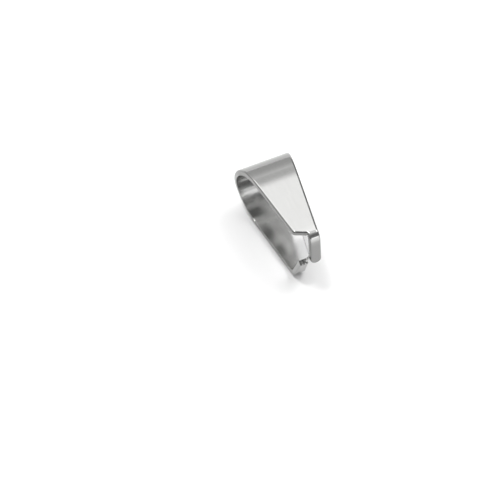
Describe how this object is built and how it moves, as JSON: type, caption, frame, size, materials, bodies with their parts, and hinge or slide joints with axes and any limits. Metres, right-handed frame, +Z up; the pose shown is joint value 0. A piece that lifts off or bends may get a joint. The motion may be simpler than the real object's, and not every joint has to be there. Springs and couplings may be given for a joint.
{
  "type": "pendant snap bail",
  "caption": "Snap bail: a strip of stainless sheet folded into an open loop, with a pin that is bent down on one leg and a hook that is bent up on the other.",
  "frame": {"origin": "middle of the bail's own box, on the outer face of the hook leg, which is its underside", "axes": "X across the strip, +Y toward the fold, -Y toward the opening, +Z up toward the pin leg"},
  "size_m": [0.005, 0.011, 0.0072],
  "materials": {
    "steel": "bright tumbled stainless sheet"
  },
  "bodies": {
    "root": {"snap_bail": "steel"}
  },
  "joints": []
}
